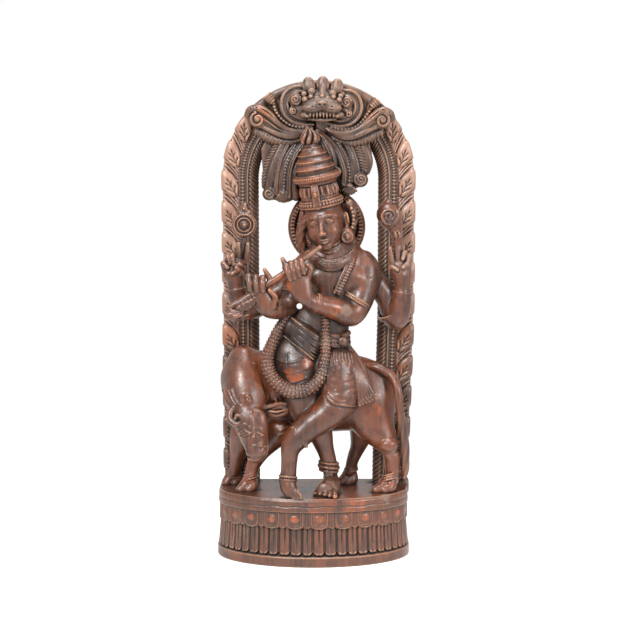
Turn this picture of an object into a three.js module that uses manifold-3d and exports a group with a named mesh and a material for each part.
// A temple-style panel carved from one block of dark wood: a four-armed flute player stands on a
// lotus plinth before a cow, under a leafy arch that a lion mask crowns. Millimetres, +Z up,
// the front faces -Y, and the origin is at the middle of the underside.
import * as THREE from "three";
import { mergeVertices } from "three/addons/utils/BufferGeometryUtils.js";
import Module from "manifold-3d";

const wasm = await Module();
wasm.setup();

// Plinth
const PLINTH_WIDTH = 494;
const PLINTH_DEPTH = 244;
const PLINTH_HEIGHT = 171;
const FOOT_SLAB_HEIGHT = 25;
const TOP_SLAB_HEIGHT = 36;
const PETAL_BAND_HEIGHT = 37;
const WAIST_RECESS = 22;
const SIDE_SHARE = 0.4;
const FLUTE_COUNT = 28;
const FLUTE_DEPTH = 7;
const FLUTES_PER_LAPPET = 2;
const LAPPET_DROP = 7;

// Arch
const ARCH_WIDTH = 494;
const ARCH_OFFSET = 13;
const ARCH_HEIGHT = 1208;
const ARCH_BAND_WIDTH = 94;
const ARCH_THICKNESS = 58;
const LEG_LEAN = 12;
const LEAF_PITCH = 71;
const LEAF_SWELL = 6;

// Slivers thinner than this, where two forms meet at a grazing angle, are smoothed away.
const JOIN_TOLERANCE = 0.25;

// Places that follow from those sizes
const BACK_Y = PLINTH_DEPTH / 2;
const ARCH_RADIUS = ARCH_WIDTH / 2;
const SPRING_Z = ARCH_HEIGHT - ARCH_RADIUS;
const ARCH_FRONT_Y = BACK_Y - ARCH_THICKNESS;
const WIDEST_Y = BACK_Y - PLINTH_DEPTH * 0.385;
// The block was laid out by eye, and the arch stands a little to one side of the plinth. The forms
// are placed from the carver's middle line, and the block is centred on its width at the end.
const PLINTH_CENTRE_X = -ARCH_OFFSET * 0.154;
const ARCH_CENTRE_X = PLINTH_CENTRE_X + ARCH_OFFSET;
const BLOCK_LEFT = Math.min(PLINTH_CENTRE_X - PLINTH_WIDTH / 2, ARCH_CENTRE_X - ARCH_RADIUS);
const BLOCK_RIGHT = Math.max(PLINTH_CENTRE_X + PLINTH_WIDTH / 2, ARCH_CENTRE_X + ARCH_RADIUS);
const BLOCK_CENTRE_X = (BLOCK_LEFT + BLOCK_RIGHT) / 2;

// The figure, the cow, the canopy and the crest are drawn in millimetres at the sizes of the first
// panel: 494 wide and 244 deep, with 790 from the plinth to where the arch springs. On a panel of
// other sizes they grow and shrink with the opening that they fill.
const WIDE = ARCH_WIDTH / 494;
const DEEP = PLINTH_DEPTH / 244;
const TALL = (SPRING_Z - PLINTH_HEIGHT) / 790;
const onPlinth = (form) => form.scale([WIDE, DEEP, TALL]).translate([0, 0, PLINTH_HEIGHT]);
const inArch = (form, tall) => form.scale([WIDE, DEEP, tall]).translate([ARCH_CENTRE_X, 0, SPRING_Z]);

const mahogany = new THREE.MeshStandardMaterial({ color: 0x5a3526, roughness: 0.55, metalness: 0 });

// A closed geometry as a solid that can be joined and cut.
function solidOf(geometry) {
  const bare = new THREE.BufferGeometry().setAttribute("position", geometry.getAttribute("position"));
  bare.setIndex(geometry.index);
  const merged = mergeVertices(bare, 1e-3);
  return new wasm.Manifold(
    new wasm.Mesh({
      numProp: 3,
      vertProperties: merged.attributes.position.array,
      triVerts: new Uint32Array(merged.index.array),
    }),
  );
}

const joined = (solids) => solids.reduce((whole, next) => whole.add(next));

// Rings of points, each with as many points as the last, closed at both ends by a middle point or
// by a tip that is given.
function skin(rings, tips = []) {
  const count = rings[0].length;
  const points = rings.flat();
  const faces = [];
  const at = (ring, i) => ring * count + (i % count);
  for (let ring = 0; ring + 1 < rings.length; ring++)
    for (let i = 0; i < count; i++) {
      faces.push(at(ring, i), at(ring, i + 1), at(ring + 1, i));
      faces.push(at(ring, i + 1), at(ring + 1, i + 1), at(ring + 1, i));
    }
  const middle = (ring) =>
    ring.reduce((sum, p) => sum.add(p), new THREE.Vector3()).divideScalar(ring.length);
  const first = points.push(tips[0] ?? middle(rings[0])) - 1;
  const last = points.push(tips[1] ?? middle(rings.at(-1))) - 1;
  for (let i = 0; i < count; i++) {
    faces.push(first, at(0, i + 1), at(0, i));
    faces.push(last, at(rings.length - 1, i), at(rings.length - 1, i + 1));
  }
  const geometry = new THREE.BufferGeometry().setFromPoints(points).setIndex(faces);
  const made = solidOf(geometry);
  if (made.volume() > 0) return made;
  for (let i = 0; i < faces.length; i += 3) [faces[i], faces[i + 1]] = [faces[i + 1], faces[i]];
  return solidOf(geometry.setIndex(faces));
}

// A rounded limb through stations [x, y, z, radius, depth share]. Its width lies in the picture
// plane and its depth runs towards the viewer, so a share under 1 flattens it from the front.
// It starts inside another form, and ends rounded when stout and bluntly pointed when thin.
function limb(stations, sides = 7, cap = 0.55) {
  const centres = stations.map(([x, y, z]) => new THREE.Vector3(x, y, z));
  const towards = new THREE.Vector3(0, 1, 0);
  const rounded = sides >= 7;
  const rings = [];
  const tips = [];
  stations.forEach(([, , , radius, share = 1], i) => {
    const before = centres[Math.max(i - 1, 0)];
    const after = centres[Math.min(i + 1, centres.length - 1)];
    const along = after.clone().sub(before).normalize();
    const across = new THREE.Vector3().crossVectors(along, towards).normalize();
    const deep = new THREE.Vector3().crossVectors(across, along);
    const ring = (scale, shift) =>
      Array.from({ length: sides }, (_, k) => {
        const turn = ((k + 0.5) / sides) * 2 * Math.PI;
        return centres[i]
          .clone()
          .addScaledVector(across, Math.cos(turn) * radius * scale)
          .addScaledVector(deep, Math.sin(turn) * radius * share * scale)
          .addScaledVector(along, shift);
      });
    const tip = (shift) => centres[i].clone().addScaledVector(along, shift);
    if (i === 0) tips[0] = tip(-radius * (cap + 0.1));
    rings.push(ring(1, 0));
    if (i === stations.length - 1 && rounded) rings.push(ring(0.6, radius * cap));
    if (i === stations.length - 1) tips[1] = tip(radius * (cap + 0.1));
  });
  return skin(rings, tips);
}

// An ellipsoid, with its own tilt about the viewing axis in degrees.
function ball([x, y, z], [rx, ry, rz], tilt = 0, sides = 8) {
  const geometry = new THREE.SphereGeometry(1, sides, Math.max(4, Math.round(sides * 0.55)));
  geometry.rotateX(Math.PI / 2).scale(rx, ry, rz);
  geometry.rotateY(THREE.MathUtils.degToRad(tilt)).translate(x, y, z);
  return solidOf(geometry);
}

// A flat outline in the picture plane, from its back at one depth to its front at another.
function plate(outline, backY, frontY) {
  const shape = new THREE.Shape(outline.map(([x, z]) => new THREE.Vector2(x, z)));
  const geometry = new THREE.ExtrudeGeometry(shape, { depth: backY - frontY, bevelEnabled: false });
  return solidOf(geometry.rotateX(Math.PI / 2).translate(0, backY, 0));
}

// A turned piece about its own upright axis, from a profile of [radius, height] that starts and
// ends on the axis.
function turned(profile, sides = 12) {
  const points = profile.map(([radius, height]) => new THREE.Vector2(radius, height));
  return solidOf(new THREE.LatheGeometry(points, sides).rotateX(Math.PI / 2));
}

// Plinth

// The plinth's plan: an elliptical front between straight sides and a flat back. The share says how
// far along the front and sides a point lies, and inset draws the front in, the sides less.
function plinthPoint(share, inset, z) {
  const half = PLINTH_WIDTH / 2 - inset * SIDE_SHARE;
  const reach = WIDEST_Y + PLINTH_DEPTH / 2 - inset;
  const side = BACK_Y - WIDEST_Y;
  const front = Math.PI * Math.sqrt((half * half + reach * reach) / 2);
  const along = share * (front + 2 * side);
  const point = (x, y) => new THREE.Vector3(PLINTH_CENTRE_X + x, y, z);
  if (along < side) return point(half, BACK_Y - along);
  if (along > front + side) return point(-half, WIDEST_Y + along - front - side);
  const turn = ((along - side) / front) * Math.PI;
  return point(half * Math.cos(turn), WIDEST_Y - reach * Math.sin(turn));
}

function plinthRing(count, inset, z) {
  const value = (given, i) => (typeof given === "function" ? given(i) : given);
  return Array.from({ length: count + 1 }, (_, i) => plinthPoint(i / count, value(inset, i), value(z, i)));
}

// The plinth is one moulding: a plain foot slab, a waist of long flared petals with a ridge and a
// groove each, a band of rounded lappets and a rounded top slab.
function plinth() {
  const petalTop = PLINTH_HEIGHT - TOP_SLAB_HEIGHT;
  const petalLow = petalTop - PETAL_BAND_HEIGHT;
  const groove = (i) => (i % 2 === 0 ? FLUTE_DEPTH : 0);
  const lappet = 2 * FLUTES_PER_LAPPET;
  const drop = (i) => LAPPET_DROP * Math.abs(((i % lappet) - lappet / 2) / (lappet / 2)) ** 2;
  const ring = (inset, z) => plinthRing(FLUTE_COUNT * 2, inset, z);
  return skin([
    ring(WAIST_RECESS * 0.14, 0),
    ring(0, FOOT_SLAB_HEIGHT * 0.84),
    ring((i) => WAIST_RECESS * 0.23 + groove(i), FOOT_SLAB_HEIGHT * 1.12),
    ring((i) => WAIST_RECESS * 0.6 + groove(i), FOOT_SLAB_HEIGHT * 2.36),
    ring((i) => WAIST_RECESS + groove(i) * 0.7, (i) => petalLow - PETAL_BAND_HEIGHT * 0.13 + drop(i)),
    ring(WAIST_RECESS * 0.55, (i) => petalLow + drop(i)),
    ring(WAIST_RECESS * 0.73, petalTop - TOP_SLAB_HEIGHT * 0.06),
    ring(WAIST_RECESS * 0.36, petalTop + TOP_SLAB_HEIGHT * 0.06),
    ring(WAIST_RECESS * 0.59, PLINTH_HEIGHT),
  ]);
}

// Arch

// A point of the arch: along its outer edge from the left foot to the right one, and inwards from it.
// Its feet are sunk in the plinth, and the right leg leans in towards its foot.
const FOOT_Z = PLINTH_HEIGHT * 0.88;
const LEG_LENGTH = SPRING_Z - FOOT_Z;
const ARCH_LENGTH = 2 * LEG_LENGTH + Math.PI * ARCH_RADIUS;

function archPoint(along, inwards, y) {
  const radius = ARCH_RADIUS - inwards;
  if (along < LEG_LENGTH) return new THREE.Vector3(ARCH_CENTRE_X - radius, y, FOOT_Z + along);
  const turn = (along - LEG_LENGTH) / ARCH_RADIUS;
  if (turn > Math.PI) {
    const height = FOOT_Z + ARCH_LENGTH - along;
    const lean = LEG_LEAN * (1 - THREE.MathUtils.smoothstep(height, PLINTH_HEIGHT, SPRING_Z * 0.7));
    return new THREE.Vector3(ARCH_CENTRE_X + radius - lean, y, height);
  }
  return new THREE.Vector3(
    ARCH_CENTRE_X - radius * Math.cos(turn),
    y,
    SPRING_Z + radius * Math.sin(turn),
  );
}

// The band's section from its outer edge to its inner one, as [share of the band's width, height
// above the slab's face as a share of its thickness, share of the leaves' swell]: leaves, a groove,
// a row of beads and a sloping rope border.
const BAND_SECTION = [
  [0, -0.1, 1],
  [0.25, 0.07, 1],
  [0.45, -0.12, 0],
  [0.65, 0.02, 0],
  [1, -0.31, 0],
];

function arch() {
  const leaves = Math.round(ARCH_LENGTH / LEAF_PITCH);
  const steps = leaves * 2;
  const rings = [];
  for (let i = 0; i <= steps; i++) {
    const along = (i / steps) * ARCH_LENGTH;
    const rise = (archPoint(along, 0, 0).z - SPRING_Z) / ARCH_RADIUS;
    const plain = THREE.MathUtils.smoothstep(rise, 0.51, 0.72);
    const swell = i % 2 === 1 ? 1 : plain;
    const notch = (1 - swell) * LEAF_SWELL;
    const section = BAND_SECTION.map(([share, height, leafy]) =>
      archPoint(
        along,
        share * ARCH_BAND_WIDTH + (share === 0 ? notch : 0),
        ARCH_FRONT_Y - height * ARCH_THICKNESS - leafy * (swell - 0.5) * LEAF_SWELL,
      ),
    );
    section.push(archPoint(along, ARCH_BAND_WIDTH * 0.94, BACK_Y));
    section.push(archPoint(along, ARCH_BAND_WIDTH * 0.03 + notch, BACK_Y));
    rings.push(section);
  }
  return skin(rings);
}

// Crest and canopy: both are drawn about the arch's centre.
const crestLimb = (stations, sides = 5) => limb(stations, sides);
const crestBall = (centre, radii, tilt = 0, sides = 6) => ball(centre, radii, tilt, sides);

// Each shape and its mirror image across the crest's middle, which leans a little off the arch's.
const CREST_MIDDLE = 6;
const bothSides = (make) => [make(1), make(-1)];
const onSide = (side) => ([x, ...rest]) => [CREST_MIDDLE + side * x, ...rest];

// A carved sheet over rails: each rail is a ridge or a groove at one depth, drawn from start to end
// as [x, z] stations, and the sheet is closed by a flat back.
function sheet(rails, place, backY) {
  const count = rails[0].line.length;
  const rings = Array.from({ length: count }, (_, i) => {
    const front = rails.map(({ y, line }) => {
      const [x, z] = line[i];
      return new THREE.Vector3(...place([x, y, z]));
    });
    const back = [front.at(-1), front[0]].map((point) => point.clone().setY(backY));
    return [...front, ...back];
  });
  return skin(rings);
}

function crest() {
  const field = plate(
    [
      [-196, 128], [-176, 158], [-140, 192], [-98, 217], [-50, 232], [0, 238], [50, 232], [98, 217],
      [140, 192], [176, 158], [196, 128], [160, 108], [80, 104], [0, 100], [-80, 104], [-160, 108],
    ],
    112,
    28,
  );
  // Leaf lobe, from its fringe up to the row of beads.
  const lobe = [
    { y: 30, line: [[4, 106], [34, 95], [62, 90], [92, 92], [122, 98], [148, 112]] },
    { y: 8, line: [[4, 121], [34, 110], [62, 104], [88, 108], [114, 120], [140, 128]] },
    { y: 20, line: [[4, 126], [32, 114], [58, 110], [84, 118], [106, 132], [134, 140]] },
    { y: -2, line: [[4, 130], [30, 120], [56, 117], [82, 128], [104, 150], [132, 168]] },
    { y: 18, line: [[4, 134], [30, 124], [54, 123], [76, 134], [94, 154], [116, 178]] },
    { y: 6, line: [[4, 136], [28, 128], [50, 129], [72, 140], [90, 158], [102, 184]] },
    { y: 24, line: [[4, 139], [26, 133], [46, 136], [64, 146], [80, 164], [90, 190]] },
  ];
  // C-scroll: two ridges that run under and around the mask's cheek and back over it.
  const scroll = [
    { y: 24, line: [[2, 138], [26, 133], [46, 136], [68, 150], [84, 178], [78, 210], [46, 226], [14, 228]] },
    { y: 2, line: [[2, 142], [26, 138], [44, 142], [63, 155], [76, 178], [71, 203], [44, 217], [14, 220]] },
    { y: 14, line: [[2, 146], [26, 143], [42, 147], [57, 158], [68, 178], [64, 198], [42, 209], [16, 212]] },
    { y: 4, line: [[2, 150], [26, 148], [40, 152], [52, 162], [60, 178], [57, 192], [40, 201], [18, 204]] },
    { y: 24, line: [[2, 156], [24, 154], [34, 158], [42, 166], [48, 178], [46, 186], [36, 192], [20, 196]] },
  ];
  const scrolls = bothSides((side) =>
    joined([
      sheet(lobe, onSide(side), 82),
      sheet(scroll, onSide(side), 82),
      crestBall(onSide(side)([160, 4, 138]), [24, 28, 24]),
    ]),
  );
  // The lion mask: a broad muzzle, bulging eyes, cheek curls and swept-back tufts.
  const mask = joined([
    crestBall([9, -4, 178], [48, 34, 28], 0, 8),
    crestBall([9, -28, 172], [17, 16, 11]),
    ...bothSides((side) => crestBall([9 + side * 25, -22, 204], [13, 13, 12])),
    ...bothSides((side) => crestBall([9 + side * 60, 0, 185], [15, 17, 18])),
    crestLimb([[-35, -20, 158, 8], [9, -30, 156, 9], [53, -20, 158, 8]]),
    crestLimb([[12, 10, 194, 16], [12, 0, 226, 17], [13, 12, 250, 10]], 5),
    ...bothSides((side) => crestLimb([[11 + side * 22, 8, 204, 14], [11 + side * 30, 6, 243, 15]], 5)),
  ]);
  return inArch(joined([field, ...scrolls, mask]), WIDE);
}

// The fluted canopy that hangs behind the crown: plumes with ridges and grooves between them.
function canopy() {
  const left = [
    { y: 50, line: [[-166, 110], [-160, 70], [-154, 26], [-139, 4], [-135, -44]] },
    { y: 18, line: [[-82, 108], [-100, 60], [-115, 18], [-124, -16], [-124, -54]] },
    { y: 26, line: [[-76, 108], [-94, 56], [-106, 16], [-112, -18], [-112, -58]] },
    { y: 16, line: [[-66, 108], [-86, 48], [-96, 8], [-100, -30], [-101, -56]] },
    { y: 28, line: [[-56, 108], [-78, 50], [-89, 8], [-93, -30], [-94, -62]] },
    { y: 12, line: [[-42, 106], [-66, 50], [-79, 10], [-85, -24], [-86, -64]] },
    { y: 28, line: [[-36, 104], [-58, 50], [-72, 10], [-77, -24], [-77, -62]] },
    { y: 16, line: [[-26, 102], [-50, 48], [-66, 8], [-70, -28], [-72, -58]] },
    { y: 40, line: [[-10, 96], [-30, 44], [-46, 6], [-48, -28], [-46, -58]] },
  ];
  const right = [
    { y: 36, line: [[0, 100], [20, 56], [32, 22], [42, -10], [50, -36]] },
    { y: 2, line: [[20, 112], [42, 82], [56, 46], [64, 6], [60, -34]] },
    { y: 28, line: [[34, 112], [56, 76], [67, 42], [71, 6], [68, -36]] },
    { y: 12, line: [[46, 110], [66, 72], [76, 40], [79, 2], [80, -42]] },
    { y: 28, line: [[58, 110], [74, 70], [84, 38], [88, 4], [91, -38]] },
    { y: 14, line: [[72, 110], [86, 62], [96, 30], [102, 2], [106, -22]] },
    { y: 28, line: [[86, 110], [100, 64], [110, 34], [116, 10], [118, -14]] },
    { y: 20, line: [[104, 110], [120, 66], [128, 38], [128, 16], [124, -2]] },
    { y: 50, line: [[166, 110], [160, 76], [146, 46], [135, 26], [128, 2]] },
  ];
  const asDrawn = (point) => point;
  const backing = [[-60, 120], [-62, 20], [-60, -57], [50, -34], [58, 20], [90, 120]];
  const forms = joined([
    sheet(left, asDrawn, 98),
    sheet(right, asDrawn, 98),
    plate(backing, 98, 42),
    crestBall([105, 8, -4], [19, 18, 20]),
    crestBall([-120, 12, -44], [17, 16, 17]),
    crestLimb([[8, -4, 104, 10, 0.6], [22, -12, 72, 17, 0.6], [38, -8, 36, 11, 0.6]], 6),
  ]);
  return inArch(forms, TALL);
}

// Figure: its stations are heights above the plinth.
const bodyBall = (centre, radii, tilt = 0, sides = 6) => ball(centre, radii, tilt, sides);

// The head is made upright about its own middle, then bowed, turned and tilted onto the neck.
function head() {
  const bow = 10, turn = -10, tilt = -9;
  const face = joined([
    ball([0, 0, 4], [48, 50, 58], 0, 10),
    ball([0, -14, -26], [38, 37, 33], 0, 8),
    ball([0, -38, -48], [13, 11, 11], 0, 6),
    limb([[0, -44, 18, 5], [0, -56, -16, 9]], 5),
    ball([0, -46, -33], [15, 8, 6], 0, 6),
    ...bothSides((side) => ball([side * 20, -43, 3], [13, 7, 7], 0, 6)),
    ...bothSides((side) => ball([side * 50, 4, 0], [8, 13, 22], 0, 6)),
    ...bothSides((side) => ball([side * 48, -8, -38], [17, 16, 20], 0, 6)),
  ]);
  const crown = turned([
    [0, 30], [54, 32], [56, 48], [48, 54], [43, 98], [58, 108], [57, 118], [49, 124],
    [42, 150], [25, 188], [11, 200], [15, 214], [0, 240],
  ], 9);
  const diadem = plate([[-38, 42], [-24, 74], [0, 96], [24, 74], [38, 42]], -30, -54);
  return joined([face, crown, diadem])
    .rotate([bow, 0, 0])
    .rotate([0, tilt, 0])
    .rotate([0, 0, turn])
    .translate([28, -5, 680]);
}

// A disc in the picture plane, seen from the front as a circle.
function disc([x, y, z], radius, thickness, sides = 24) {
  const geometry = new THREE.CylinderGeometry(radius * 0.96, radius, thickness, sides);
  return solidOf(geometry.rotateX(Math.PI).translate(x, y, z));
}

// The wheel-shaped halo stands behind the head, with a raised rim.
function halo() {
  const rim = 96;
  const profile = [[0, 0], [rim - 4, 0], [rim, 8], [rim - 6, 16], [rim - 15, 15], [rim - 18, 8], [0, 8]];
  const points = profile.map(([radius, height]) => new THREE.Vector2(radius, height));
  return solidOf(new THREE.LatheGeometry(points, 20).translate(0, -8, 0).rotateX(Math.PI))
    .translate([28, 48, 670]);
}

function torso() {
  return joined([
    limb([
      [37, 2, 622, 27], [42, 4, 598, 31], [50, 6, 584, 66, 0.55], [52, 4, 556, 92, 0.46],
      [47, 2, 520, 80, 0.54], [38, 2, 480, 65, 0.62], [29, 0, 446, 62, 0.62], [14, -2, 414, 76, 0.56],
      [2, -4, 330, 94, 0.52],
    ], 9),
    bodyBall([94, -28, 545], [34, 16, 26]),
    bodyBall([14, -30, 545], [34, 16, 26]),
    limb([[-14, -32, 606, 8], [10, -42, 582, 12], [60, -44, 576, 12], [92, -28, 604, 8]], 5),
    limb([[92, -24, 600, 9], [76, -42, 566, 10], [56, -50, 514, 10]], 5),
  ]);
}

function frontArms() {
  return joined([
    limb([
      [132, 6, 578, 30], [137, 0, 540, 37], [130, -10, 496, 38], [108, -32, 456, 37], [52, -56, 473, 30],
      [-6, -78, 490, 20], [-24, -85, 512, 24, 0.66], [-34, -90, 546, 27, 0.5],
    ]),
    limb([
      [-26, 6, 570, 31], [-44, 0, 524, 31], [-64, -16, 474, 29], [-106, -66, 472, 20],
      [-122, -80, 496, 25, 0.66], [-133, -88, 520, 26, 0.5],
    ]),
  ]);
}

function flute() {
  return joined([
    limb([[12, -62, 622, 7], [-34, -80, 588, 8], [-133, -94, 522, 9], [-205, -94, 478, 9]], 6),
    bodyBall([-166, -92, 494], [19, 14, 12], -30, 6),
    bodyBall([-200, -88, 464], [27, 13, 13], -10, 6),
  ]);
}

// Fingers as [base, knuckle, tip]. The first hands hold the flute, the others their emblems.
function fingers() {
  const sets = [
    [[-62, -94, 534], [-69, -98, 570], [-60, -88, 582]],
    [[-49, -97, 536], [-56, -102, 573], [-44, -88, 588]],
    [[-36, -97, 540], [-44, -102, 581], [-30, -88, 593]],
    [[-22, -94, 544], [-31, -99, 588], [-22, -86, 594]],
    [[-14, -86, 530], [-10, -84, 562], [-19, -80, 574]],
    [[-68, -88, 566], [-74, -86, 584], [-76, -84, 594]],
    [[-126, -97, 512], [-128, -101, 544], [-126, -88, 550]],
    [[-140, -97, 512], [-143, -101, 544], [-141, -88, 550]],
    [[-153, -92, 508], [-160, -94, 536], [-159, -90, 553]],
    [[-113, -88, 520], [-116, -85, 544], [-124, -82, 568]],
    [[-104, -88, 482], [-96, -92, 502], [-106, -97, 522]],
    [[-192, -6, 582], [-187, -8, 612], [-187, -8, 636]],
    [[-180, -4, 582], [-172, -6, 612], [-164, -6, 636]],
    [[-205, -10, 582], [-211, -16, 600], [-206, -20, 584]],
    [[-220, -8, 576], [-223, -14, 594], [-219, -18, 580]],
    [[-178, -8, 566], [-184, -17, 578], [-200, -21, 580]],
    [[212, -6, 582], [209, -9, 612], [207, -8, 636]],
    [[225, -6, 582], [227, -11, 608], [222, -18, 594]],
    [[237, -4, 576], [239, -11, 598], [234, -18, 584]],
    [[199, -6, 566], [193, -9, 600], [191, -8, 622]],
  ];
  return sets.map(([base, knuckle, tip]) => limb([[...base, 8], [...knuckle, 7], [...tip, 5]], 4));
}

function rearArms() {
  const right = limb([
    [-34, 34, 548, 31], [-110, 34, 484, 32], [-166, 26, 442, 31], [-190, 6, 486, 27], [-196, 0, 524, 21],
    [-199, -2, 556, 27, 0.66], [-198, -4, 580, 26, 0.5],
  ]);
  const left = limb([
    [148, 30, 546, 31], [176, 28, 486, 35], [200, 18, 436, 34], [216, 4, 476, 29], [223, 0, 517, 21],
    [221, -2, 550, 26, 0.66], [218, -4, 576, 25, 0.5],
  ]);
  const wheel = joined([
    disc([-175, -2, 676], 30, 18, 14),
    limb([[-186, 4, 590, 9], [-175, 6, 640, 9], [-174, 14, 724, 10]], 5),
    bodyBall([-173, 10, 716], [17, 16, 12]),
  ]);
  const conch = limb([
    [213, -2, 590, 12], [208, -2, 656, 15], [194, 0, 690, 27], [180, 0, 708, 22], [187, 4, 732, 12],
  ], 6);
  return joined([right, left, wheel, conch]);
}

function legs() {
  const standing = limb([
    [-38, -18, 320, 56], [-34, -24, 256, 50], [-18, -26, 206, 43], [8, -24, 158, 34], [38, -16, 72, 22],
    [44, -14, 34, 21],
  ]);
  const standingFoot = limb([[44, 2, 24, 25, 0.8], [42, -44, 18, 30, 0.7], [37, -76, 9, 34, 0.5]]);
  const crossed = limb([
    [56, -26, 316, 58], [63, -42, 262, 50], [44, -54, 220, 45], [-4, -68, 184, 38], [-47, -77, 146, 32],
    [-63, -78, 104, 22], [-64, -77, 64, 18], [-70, -80, 42, 19], [-66, -84, 22, 19], [-58, -88, 6, 13],
  ]);
  const anklet = limb([[36, -16, 76, 27], [39, -16, 62, 28]], 6);
  return joined([standing, standingFoot, crossed, anklet]);
}

function dress() {
  const garland = [
    [-76, -34, 450, 11], [-116, -52, 388, 15], [-119, -60, 326, 17], [-94, -67, 284, 19],
    [-56, -70, 262, 20], [-14, -70, 270, 19], [12, -65, 312, 17], [28, -54, 388, 15], [28, -44, 444, 11],
  ];
  return joined([
    bodyBall([-54, -16, 338], [58, 44, 64], 0, 8),
    limb(garland, 6),
    limb([[-72, -34, 428, 10], [-48, -50, 402, 14], [12, -52, 352, 14]], 5),
    limb([[30, -42, 388, 13], [64, -38, 384, 13], [94, -20, 388, 13]], 5),
    limb([[38, -52, 362, 11], [42, -64, 312, 15], [54, -66, 258, 15]], 5),
    limb([[96, -24, 378, 10, 0.6], [112, -42, 322, 17, 0.6], [136, -50, 242, 27, 0.5]], 6),
    bodyBall([78, -44, 366], [16, 14, 16]),
    limb([[-44, -84, 174, 10], [-24, -80, 128, 9]], 5),
  ]);
}

// Cow: its stations are heights above the plinth too.
const cowBall = (centre, radii, tilt = 0, sides = 6) => ball(centre, radii, tilt, sides);

function cow() {
  const trunk = limb([
    [-190, 4, 286, 58, 0.8], [-140, 18, 266, 92, 0.64], [-60, 32, 250, 108, 0.54], [60, 32, 250, 100, 0.58],
    [150, 26, 238, 90, 0.64], [204, 20, 226, 56, 0.75],
  ], 9);
  const neck = limb([
    [-180, 4, 330, 42], [-180, -14, 288, 52], [-168, -32, 236, 58, 0.9], [-162, -50, 208, 44, 0.9],
  ]);
  const skull = limb([
    [-164, -56, 222, 26], [-159, -62, 196, 40], [-147, -68, 158, 37], [-139, -78, 128, 28],
    [-139, -84, 110, 26], [-142, -84, 98, 19],
  ]);
  const legs = [
    [[-84, 6, 150, 42], [-104, 0, 110, 32], [-142, -6, 62, 19], [-158, -8, 38, 17], [-164, -10, 26, 20],
      [-172, -14, 8, 27]],
    [[-186, 42, 140, 32], [-197, 52, 80, 23], [-205, 58, 44, 18], [-210, 60, 26, 18], [-215, 62, 8, 23]],
    [[142, 10, 214, 76, 0.7], [152, 2, 152, 62, 0.7], [176, -6, 124, 42, 0.8], [198, -10, 92, 21],
      [199, -12, 42, 16], [196, -14, 26, 20], [181, -26, 8, 30]],
    [[112, 50, 160, 46, 0.8], [110, 62, 92, 20], [102, 64, 52, 20], [107, 64, 30, 15], [104, 66, 8, 22]],
  ].map((stations) => limb(stations, 6));
  const hock = cowBall([188, -16, 120], [19, 17, 21]);
  // The near horn is a worn stub in a collar, the far one lies back along the neck.
  const horns = [
    limb([[-160, -66, 212, 19], [-162, -72, 232, 15], [-160, -70, 250, 9]], 6),
  ];
  const ears = [
    limb([[-124, -46, 208, 8, 0.6], [-100, -50, 206, 15, 0.6], [-74, -46, 216, 6, 0.6]], 6),
    limb([[-176, -62, 208, 10, 0.5], [-186, -70, 198, 14, 0.5], [-168, -76, 178, 7, 0.5]], 6),
  ];
  const brows = [cowBall([-171, -78, 168], [14, 10, 12]), cowBall([-138, -82, 164], [10, 9, 11])];
  const tail = limb([
    [160, 18, 314, 13], [200, 2, 298, 14], [219, 0, 244, 15], [228, 12, 150, 13], [228, 32, 26, 11],
  ], 6);
  return joined([trunk, neck, skull, ...legs, hock, ...horns, ...ears, ...brows, tail]);
}

// The whole carving is one block of wood, so its forms are joined into one solid and trimmed to the
// block: flat behind, flat below.
function carving() {
  const standing = joined([
    head(),
    halo(),
    torso(),
    frontArms(),
    ...fingers(),
    flute(),
    rearArms(),
    legs(),
    dress(),
    cow(),
  ]);
  const forms = joined([plinth(), arch(), crest(), canopy(), onPlinth(standing)]);
  const block = solidOf(
    new THREE.BoxGeometry(BLOCK_RIGHT - BLOCK_LEFT, PLINTH_DEPTH, ARCH_HEIGHT * 2)
      .translate(BLOCK_CENTRE_X, 0, ARCH_HEIGHT),
  );
  return forms.intersect(block).translate([-BLOCK_CENTRE_X, 0, 0]).simplify(JOIN_TOLERANCE);
}

function meshOf(name, made, material) {
  const { numProp, vertProperties, triVerts } = made.getMesh();
  const positions = new Float32Array((vertProperties.length / numProp) * 3);
  for (let i = 0; i < positions.length / 3; i++)
    positions.set(vertProperties.subarray(i * numProp, i * numProp + 3), i * 3);
  const geometry = new THREE.BufferGeometry();
  geometry.setAttribute("position", new THREE.BufferAttribute(positions, 3));
  geometry.setIndex(new THREE.BufferAttribute(new Uint32Array(triVerts), 1));
  const mesh = new THREE.Mesh(geometry, material);
  mesh.name = name;
  return mesh;
}

const panel = new THREE.Group();
panel.add(meshOf("carved_panel", carving(), mahogany));

export default panel;
